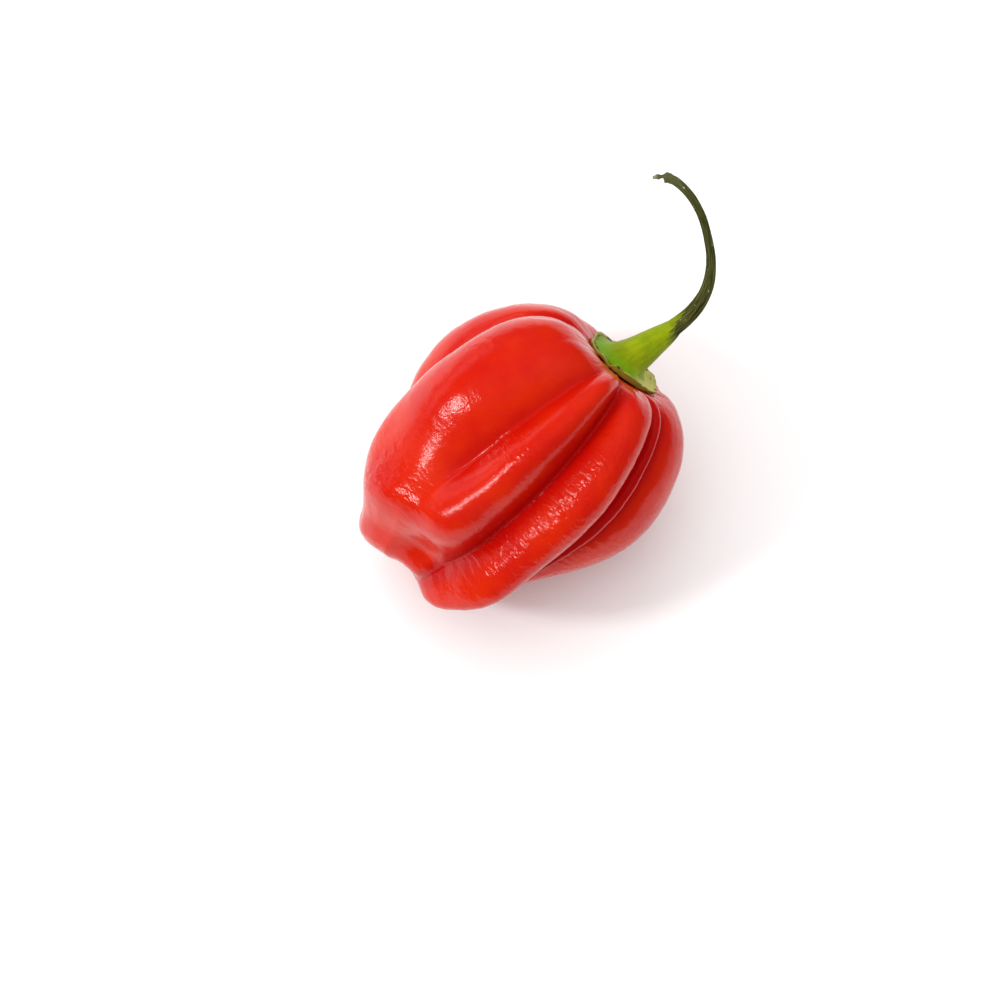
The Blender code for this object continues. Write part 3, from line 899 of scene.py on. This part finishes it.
# %% Turn the calyx
def make_base_calyx():
    """Calyx by rule, lying with the fruit."""
    section, rows = rounded_section()
    turn_row = np.linspace(0.0, 2 * pi, CALYX_COLUMNS, endpoint=False)
    reach, lift = rim_shape(turn_row)
    radius = (section[:, :1] + section[:, 3:4] * reach) * MM
    lifted = section[:, 3:4] * lift * (section[:, 1:2] > RIM_LIFTS_FROM)
    rise_up = section[:, 1:2] + lifted
    rise_up += section[:, 4:5] * filled_foot(turn_row)
    base = np.empty_like(radius)
    for column, turn in enumerate(turn_row):
        on_skin = crown_heights(radius[:, column], turn)
        base[:, column] = section[:, 2] * on_skin + (1 - section[:, 2]) * SEAT_HEIGHT
    turn = np.broadcast_to(turn_row, radius.shape)
    straight = np.stack([radius * np.cos(turn), radius * np.sin(turn), base + rise_up * MM], -1)
    bent = bent_along_stem(straight.reshape(-1, 3)).reshape(straight.shape)
    follow = section[:, 2][:, None, None]
    points = follow * straight + (1 - follow) * bent
    height = straight[:, :, 2] - SEAT_HEIGHT
    values = {
        "row": np.broadcast_to(rows[:, None], radius.shape),
        "grown": np.stack([np.cos(turn), np.sin(turn), height], -1),
        "bark": bark_share(height, turn),
        "filled": filled_foot(turn),
    }
    mesh = ring_mesh("calyx_detail", points, values)
    mesh.transform(LYING)
    return place_piece("calyx_detail", mesh)


def bark_share(distance, turn):
    """Over 0.5 where dark bark covers the green, from the length along the line."""
    edge = BARK_STARTS + BARK_SLANT * np.cos(turn - radians(BARK_LATEST_TURN))
    return smooth_step(-BARK_SOFTNESS, BARK_SOFTNESS, distance - edge)


calyx = make_base_calyx()
print("base calyx has", len(calyx.data.polygons), "faces")


# %% [markdown]
# ## Ribs and raggedness of the calyx
#
# Soft ribs run up the cone from the saucer's corners, where the flower's sepals
# were joined, and the dried rim is frayed. A tree adds both: a streaky noise along
# the growth for the ribs, and a short noise that only works near the rim.

# %% Tree of the calyx relief
def build_calyx_relief():
    """Tree that adds ribs to the cone, frays the rim and grains the outside."""
    tree, given, end = new_tree(
        "calyx relief", "GeometryNodeTree",
        {"Calyx": GEOMETRY, "Finish": MATERIAL,
         "Rib Height": 0.28, "Ribs Round": 2.2, "Ribs Along": 70.0,
         "Fray": 0.5, "Fray Size": 1.0,
         "Grain": 0.08, "Grain Size": 0.8},
        {"Calyx": GEOMETRY})
    row = read_points(tree, "row")
    grown = read_points(tree, "grown", "FLOAT_VECTOR")
    place = source(tree, "GeometryNodeInputPosition")
    rib_place = stretched(tree, grown, given["Ribs Round"], given["Ribs Along"])
    rib = noise_height(tree, rib_place, 1.0, given["Rib Height"])
    rib = times(tree, rib, ramp(tree, row, 10.0, 12.0))
    fray = noise_height(tree, place, per_millimetres(tree, given["Fray Size"]), given["Fray"])
    fray = times(tree, fray, ramp(tree, row, 4.5, 6.5), ramp(tree, row, 10.0, 8.0))
    grain = noise_height(tree, place, per_millimetres(tree, given["Grain Size"]), given["Grain"])
    grain = times(tree, grain, ramp(tree, row, 4.5, 6.0))
    return end_relief(tree, end, given["Calyx"], plus(tree, rib, fray, grain), given["Finish"])


CALYX_RELIEF = build_calyx_relief()


# %% [markdown]
# ## Colours of the calyx and the bark
#
# The cone is a fresh yellow green that deepens at its foot. The saucer has dried:
# ochre outside, with a pale lip. The stalk's bark is a dark olive, streaked along
# its fibres. The edge between green and bark is ragged and slanted, so both
# pieces use the same stored value and the same group for it.

# %% Bark over green
GREEN_NECK = (0.23, 0.29, 0.002, 1)
BARK_DARK, BARK_PALE = (0.006, 0.007, 0.001, 1), (0.120, 0.120, 0.022, 1)
BARK_GREEN = (0.050, 0.066, 0.004, 1)


def build_bark_edge():
    """Group that lays dark streaked bark over a green, with a ragged edge."""
    tree, given, end = new_tree(
        "bark edge", "ShaderNodeTree",
        {"Grown": VECTOR, "Bark": 0.0, "Green": (COLOUR, GREEN_NECK)},
        {"Colour": COLOUR, "Streak": FLOAT, "Covered": FLOAT})
    fine = use_group(tree, LONG_STREAKS, {"Place": given["Grown"], "Streaks Round": 9.0,
                                          "Streak Length": 3 * MM, "Contrast": 5.0})[0]
    broad = use_group(tree, LONG_STREAKS, {"Place": given["Grown"], "Streaks Round": 1.4,
                                           "Streak Length": 14 * MM, "Contrast": 3.0})[0]
    dark = blend_colours(tree, fine, BARK_DARK, BARK_PALE)
    dark = blend_colours(tree, times(tree, broad, 0.4), dark, BARK_GREEN)
    ragged = math_node(tree, "MULTIPLY_ADD", fine, 0.7, -0.35)
    covered = rise(tree, plus(tree, given["Bark"], ragged), 0.42, 0.58)
    colour = blend_colours(tree, covered, given["Green"], dark)
    return end_tree(tree, end, {"Colour": colour, "Streak": fine, "Covered": covered})


BARK_EDGE = build_bark_edge()


# %% Green calyx
CONE_GREEN, CONE_PATCH = (0.28, 0.35, 0.001, 1), (0.20, 0.28, 0.001, 1)
FOOT_GREEN, STREAK_GREEN = (0.16, 0.32, 0.001, 1), (0.13, 0.17, 0.004, 1)
DRIED_OCHRE, DRIED_OLIVE = (0.30, 0.18, 0.015, 1), (0.22, 0.22, 0.03, 1)
UPPER_PALE, LIP_PALE = (0.50, 0.47, 0.10, 1), (0.46, 0.39, 0.10, 1)
# The crevice olive is painted shade in the groove where the cone's foot fills the saucer
CREVICE_SHADE_OLIVE, SCAR_DARK = (0.16, 0.15, 0.01, 1), (0.035, 0.020, 0.006, 1)


def make_green_calyx():
    """Fresh green cone on a dried saucer. Rows are those of the calyx's section."""
    material, tree, shader, place = new_finish("green calyx")
    grown, length = grown_place(tree)
    row, filled = stored_value(tree, "row"), stored_value(tree, "filled")

    def between_rows(first, first_full, last_full, last):
        return times(tree, rise(tree, row, first, first_full), rise(tree, row, last, last_full))

    patches = use_group(tree, SOFT_PATCHES, {
        "Place": place, "Patch Size": 2.4 * MM, "Sharpness": 2.5,
        "Colour": CONE_GREEN, "Patch Colour": CONE_PATCH})
    foot = rise(tree, length, 1.8 * MM, 0.3 * MM)
    colour = blend_colours(tree, foot, patches["Colour"], FOOT_GREEN)
    streaks = use_group(tree, LONG_STREAKS, {"Place": grown, "Streaks Round": 4.0,
                                             "Streak Length": 5 * MM, "Contrast": 4.0})[0]
    colour = blend_colours(tree, times(tree, streaks, 0.35), colour, STREAK_GREEN)
    bare = math_node(tree, "SUBTRACT", 1.0, filled)
    upper = times(tree, rise(tree, row, 12.2, 11.2), bare)
    colour = blend_colours(tree, upper, colour, UPPER_PALE)
    # Painted shade: a darker olive in the groove between the lip and the filled foot
    crevice_shade = times(tree, between_rows(8.0, 8.5, 8.9, 9.4), filled)
    colour = blend_colours(tree, crevice_shade, colour, CREVICE_SHADE_OLIVE)
    colour = blend_colours(tree, between_rows(5.8, 6.5, 7.9, 8.4), colour, LIP_PALE)
    dried = use_group(tree, SOFT_PATCHES, {
        "Place": place, "Patch Size": 1.6 * MM, "Sharpness": 3.0,
        "Colour": DRIED_OCHRE, "Patch Colour": DRIED_OLIVE})
    colour = blend_colours(tree, rise(tree, row, 6.5, 5.8), colour, dried["Colour"])
    scars = rise(tree, cloud(tree, place, 1.0 / (1.1 * MM)), 0.57, 0.65)
    scars = times(tree, scars, between_rows(4.6, 5.4, 8.8, 9.6))
    colour = blend_colours(tree, scars, colour, SCAR_DARK)
    edge = use_group(tree, BARK_EDGE, {"Grown": grown, "Bark": stored_value(tree, "bark"),
                                       "Green": colour})
    grain = use_group(tree, FINE_GRAIN, {"Place": place, "Grain Size": 0.35 * MM, "Cells": 0.3})[0]
    height = plus(tree, grain, times(tree, streaks, 0.8))
    rough = ramp(tree, grain, 0.0, 1.0, 0.42, 0.56)
    dress_shader(tree, shader, edge["Colour"], rough, 0.1, height, 0.05 * MM)
    return material


green_calyx = make_green_calyx()
calyx = run_tree(calyx, CALYX_RELIEF, {"Finish": green_calyx})
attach(calyx, "root")
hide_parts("calyx")
print("calyx has", len(calyx.data.polygons), "faces after its relief")

# %% [markdown]
# ## The stalk
#
# The stalk is a ribbed woody rod that thins and then thickens again before its
# broken end. It is one section swept along the smooth line, so a tree makes it: a
# circle is pushed out into ribs, the curve's own radius sets the thickness at each
# point, and a streaky noise roughens the bark. The tree also stores how far along
# and how far round each point is, because after the sweep nothing else knows.

# %% Line that carries the stalk
STEM_STEPS, STEM_CORNERS = 150, 45
STEM_START = 10.0 * MM       # inside the calyx's neck
STEM_LENGTH = float(LINE_LENGTHS[-1] - STEM_START)
TORN_FROM, TORN_FULLY = 4.0 * MM, 2.0 * MM  # before the broken end


def make_stem_curve():
    """Curve of the stalk, upright, with the radius at each point."""
    curve = bpy.data.curves.new("stem_detail", "CURVE")
    curve.dimensions = "3D"
    curve.twist_mode = "MINIMUM"
    distances = np.linspace(STEM_START, LINE_LENGTHS[-1], STEM_STEPS)
    places, _ = stem_line(distances)
    radii = np.interp(distances, LINE_LENGTHS, STEM_LINE[:, 3])
    spline = curve.splines.new("POLY")
    spline.points.add(STEM_STEPS - 1)
    for point, place, radius in zip(spline.points, places, radii):
        point.co = (*place, 1.0)
        point.radius = float(radius)
    return place_piece("stem_detail", curve)


stem_curve = make_stem_curve()
print("the stalk's line is", round(STEM_LENGTH * 1000, 1), "mm long")


# %% Tree of the stalk
def build_ribbed_sweep():
    """Tree that sweeps a ribbed section along a curve and roughens it."""
    tree, given, end = new_tree(
        "ribbed sweep", "GeometryNodeTree",
        {"Line": GEOMETRY, "Finish": MATERIAL,
         "Ribs": 5.0, "Rib Height": 0.09,
         "Corners": ("NodeSocketInt", STEM_CORNERS),
         "Bark Height": 0.16, "Bark Round": 3.0, "Bark Along": 420.0,
         "Break Height": 0.9, "Break Size": 0.6,
         "Start": STEM_START, "Length": STEM_LENGTH},
        {"Stalk": GEOMETRY})
    circle = add_node(tree, "GeometryNodeCurvePrimitiveCircle",
                      {"Resolution": given["Corners"], "Radius": 1.0})
    turn = times(tree, source(tree, "GeometryNodeSplineParameter", "Factor"), 2 * pi)
    wave = math_node(tree, "COSINE", times(tree, turn, given["Ribs"]))
    size = math_node(tree, "MULTIPLY_ADD", wave, given["Rib Height"], 1.0)
    place = source(tree, "GeometryNodeInputPosition")
    ribbed = add_node(tree, "ShaderNodeVectorMath", {0: place, "Scale": size}, operation="SCALE")
    section = add_node(tree, "GeometryNodeSetPosition",
                       {"Geometry": circle.outputs[0], "Position": ribbed.outputs[0]})
    kept_turn = add_node(tree, "GeometryNodeCaptureAttribute", {"Geometry": section.outputs[0]})
    kept_turn.capture_items.new("FLOAT", "Turn")
    tree.links.new(turn, kept_turn.inputs[1])
    kept_share = add_node(tree, "GeometryNodeCaptureAttribute", {"Geometry": given["Line"]})
    kept_share.capture_items.new("FLOAT", "Share")
    share_along = source(tree, "GeometryNodeSplineParameter", "Factor")
    tree.links.new(share_along, kept_share.inputs[1])
    swept = add_node(tree, "GeometryNodeCurveToMesh", {
        "Curve": kept_share.outputs[0], "Profile Curve": kept_turn.outputs[0], "Fill Caps": True,
        "Scale": source(tree, "GeometryNodeInputRadius")})
    along = math_node(tree, "MULTIPLY_ADD", kept_share.outputs[1], given["Length"], given["Start"])
    grown = add_node(tree, "ShaderNodeCombineXYZ", {
        0: math_node(tree, "COSINE", kept_turn.outputs[1]),
        1: math_node(tree, "SINE", kept_turn.outputs[1]), 2: along})
    stored = add_node(tree, "GeometryNodeStoreNamedAttribute",
                      {"Geometry": swept.outputs[0], "Name": "grown", "Value": grown.outputs[0]},
                      data_type="FLOAT_VECTOR", domain="POINT")
    grown = read_points(tree, "grown", "FLOAT_VECTOR")
    bark_place = stretched(tree, grown, given["Bark Round"], given["Bark Along"])
    bark = noise_height(tree, bark_place, 1.0, given["Bark Height"], 3.0)
    torn_scale = per_millimetres(tree, given["Break Size"])
    torn = noise_height(tree, place, torn_scale, given["Break Height"])
    along = add_node(tree, "ShaderNodeSeparateXYZ", {0: grown}).outputs[2]
    left = math_node(tree, "SUBTRACT", plus(tree, given["Start"], given["Length"]), along)
    torn = times(tree, torn, ramp(tree, left, TORN_FROM, TORN_FULLY))
    return end_relief(tree, end, stored.outputs[0], plus(tree, bark, torn), given["Finish"])


RIBBED_SWEEP = build_ribbed_sweep()


# %% Olive bark
END_GREY, END_PALE = (0.13, 0.14, 0.055, 1), (0.36, 0.36, 0.22, 1)
SPECK_PALE = (0.45, 0.44, 0.28, 1)


def make_olive_bark():
    """Dark streaked bark, green at its root and pale at its broken end."""
    material, tree, shader, place = new_finish("olive bark")
    grown, length = grown_place(tree)
    left = math_node(tree, "SUBTRACT", float(LINE_LENGTHS[-1]), length)
    edge = use_group(tree, BARK_EDGE, {"Grown": grown, "Bark": stored_value(tree, "bark"),
                                       "Green": GREEN_NECK})
    grey = times(tree, rise(tree, left, 9 * MM, 3 * MM), 0.75)
    colour = blend_colours(tree, grey, edge["Colour"], END_GREY)
    colour = blend_colours(tree, rise(tree, left, 1.2 * MM, 0.2 * MM), colour, END_PALE)
    specks = rise(tree, cloud(tree, place, 1.0 / (0.6 * MM)), 0.69, 0.73)
    colour = blend_colours(tree, times(tree, specks, edge["Covered"]), colour, SPECK_PALE)
    grain = use_group(tree, FINE_GRAIN, {"Place": place, "Grain Size": 0.3 * MM, "Cells": 0.3})[0]
    rough = ramp(tree, grain, 0.0, 1.0, 0.5, 0.7)
    dress_shader(tree, shader, colour, rough, 0.15, plus(tree, edge["Streak"], grain), 0.08 * MM)
    return material


# %% Sweep the stalk
def store_bark(piece):
    """Stores the share of bark on the stalk's points, from how they grew."""
    mesh = piece.data
    grown = np.empty(len(mesh.vertices) * 3, np.float32)
    mesh.attributes["grown"].data.foreach_get("vector", grown)
    grown = grown.reshape(-1, 3)
    share = bark_share(grown[:, 2], np.arctan2(grown[:, 1], grown[:, 0]))
    bark = mesh.attributes.new("bark", "FLOAT", "POINT")
    bark.data.foreach_set("value", share.astype(np.float32))


olive_bark = make_olive_bark()
stem = run_tree(stem_curve, RIBBED_SWEEP, {"Finish": olive_bark})
stem.data.transform(LYING)
store_bark(stem)
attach(stem, "root")
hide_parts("stem")
print("stalk has", len(stem.data.polygons), "faces")

# %% [markdown]
# ## Camera
#
# The photograph looks down steeply, from the front left of the pepper. A 100 mm
# lens at about half a metre gives its mild perspective. The camera is put where
# the calyx's seat falls on its place in a picture of 1000 by 1000 points.

# %% Camera
LENS, SENSOR, PICTURE = 100.0, 36.0, 1000
AZIMUTH, ELEVATION = radians(-45), radians(75)
SEAT_PIXEL = (622, 366)
PIXEL_SIZE = 0.168 * MM      # at the distance of the seat


def camera_axes(azimuth, elevation):
    """Right, up and forward of a camera that looks at the pepper from an azimuth
    counted from the front and an elevation."""
    away = -azimuth
    forward = Vector((sin(away) * cos(elevation), cos(away) * cos(elevation), -sin(elevation)))
    right = Vector((cos(away), -sin(away), 0.0))
    return right, right.cross(forward), forward


def make_camera():
    """Camera with the photograph's angle and framing."""
    right, up, forward = camera_axes(AZIMUTH, ELEVATION)
    seat = LYING @ Vector((0.0, 0.0, SEAT_HEIGHT))
    distance = LENS / SENSOR * PICTURE * PIXEL_SIZE
    across, down = (pixel - PICTURE / 2 for pixel in SEAT_PIXEL)
    place = seat - forward * distance - right * across * PIXEL_SIZE + up * down * PIXEL_SIZE
    lens = bpy.data.cameras.new("photo camera")
    lens.lens, lens.sensor_width, lens.sensor_fit = LENS, SENSOR, "HORIZONTAL"
    lens.clip_start, lens.clip_end = 0.01, 20.0
    camera = bpy.data.objects.new("photo camera", lens)
    turned = Matrix((right, up, -forward)).transposed().to_4x4()
    camera.matrix_world = Matrix.Translation(place) @ turned
    bpy.context.scene.collection.objects.link(camera)
    bpy.context.scene.camera = camera
    return camera


camera = make_camera()
print("camera stands at", [round(value * 1000) for value in camera.location], "mm")

# %% [markdown]
# ## Floor and light
#
# The photograph was taken on white with soft lights. A white floor under strong
# light goes to clean white and lights the pepper's lower side, as paper does. One
# window light on the left gives the ragged highlights. A low white board on the
# left and the floor itself give the pale sheen along the flanks. The other lights
# and the room only fill the shadows. They stay out of the gloss, because a
# reflection from every side would lay a pale veil over the deep red.

# %% Floor
FLOOR_HALF = 3.0


def make_floor():
    """Plain white floor."""
    mesh = bpy.data.meshes.new("floor")
    corners = [(-1, -1), (1, -1), (1, 1), (-1, 1)]
    mesh.from_pydata([(x * FLOOR_HALF, y * FLOOR_HALF, 0) for x, y in corners], [], [(0, 1, 2, 3)])
    floor = place_piece("floor", mesh)
    material, tree, shader, place = new_finish("white paper")
    paper = use_group(tree, SOFT_PATCHES, {
        "Place": place, "Patch Size": 60 * MM, "Sharpness": 1.0,
        "Colour": (0.96, 0.96, 0.96, 1), "Patch Colour": (0.94, 0.94, 0.94, 1)})
    set_inputs(tree, shader, {"Base Color": paper["Colour"], "Roughness": 0.9,
                              "Specular IOR Level": 0.1})
    mesh.materials.append(material)
    floor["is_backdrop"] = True
    print("the floor is", 2 * FLOOR_HALF, "m wide")


make_floor()


# %% Lights
LIT_PLACE = Vector((0.0, 0.0, 22 * MM))  # over the resting spot, halfway up the fruit


def make_light(name, direction, distance, width, height, radiance, in_gloss=True):
    """Soft rectangular light that shines on the pepper from a direction in the
    camera's own axes: right, up, towards the camera."""
    right, up, forward = camera_axes(AZIMUTH, ELEVATION)
    way = (right * direction[0] + up * direction[1] - forward * direction[2]).normalized()
    lamp = bpy.data.lights.new(name, "AREA")
    lamp.shape = "RECTANGLE"
    lamp.size, lamp.size_y = width, height
    lamp.energy = radiance * pi * width * height
    light = bpy.data.objects.new(name, lamp)
    turned = way.to_track_quat("Z", "Y").to_matrix().to_4x4()
    light.matrix_world = Matrix.Translation(LIT_PLACE + way * distance) @ turned
    light.visible_glossy = in_gloss
    light.visible_camera = False
    bpy.context.scene.collection.objects.link(light)
    print(name, "comes from", [round(value, 2) for value in way])


make_light("window light", (-0.70, 0.06, 0.70), 1.2, 0.14, 0.29, 42.0)
make_light("white board", (-0.80, 0.58, 0.12), 1.0, 1.1, 0.22, 1.2)
make_light("soft light above", (-0.10, 0.40, 0.90), 1.5, 1.8, 1.8, 1.5, in_gloss=False)
make_light("back light", (-0.3, 0.9, 0.25), 1.2, 0.9, 0.4, 1.5, in_gloss=False)

world = bpy.data.worlds.new("dim room")
world.use_nodes = True
world.node_tree.nodes["Background"].inputs["Color"].default_value = (1.0, 1.0, 1.0, 1.0)
world.node_tree.nodes["Background"].inputs["Strength"].default_value = 0.60
world.cycles_visibility.glossy = False
bpy.context.scene.world = world
bpy.context.scene.view_settings.view_transform = "Standard"

# %% [markdown]
# ## Finish
#
# The box of the dressed pepper is measured and printed next to the box of the
# solids.

# %% Measure and finish
bpy.context.view_layer.update()
dressed_box = [[float(value) for value in corner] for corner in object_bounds()]
for label, (low, high) in (("solids", solid_box), ("dressed", dressed_box)):
    print(label, [round((b - a) * 1000, 2) for a, b in zip(low, high)], "mm")
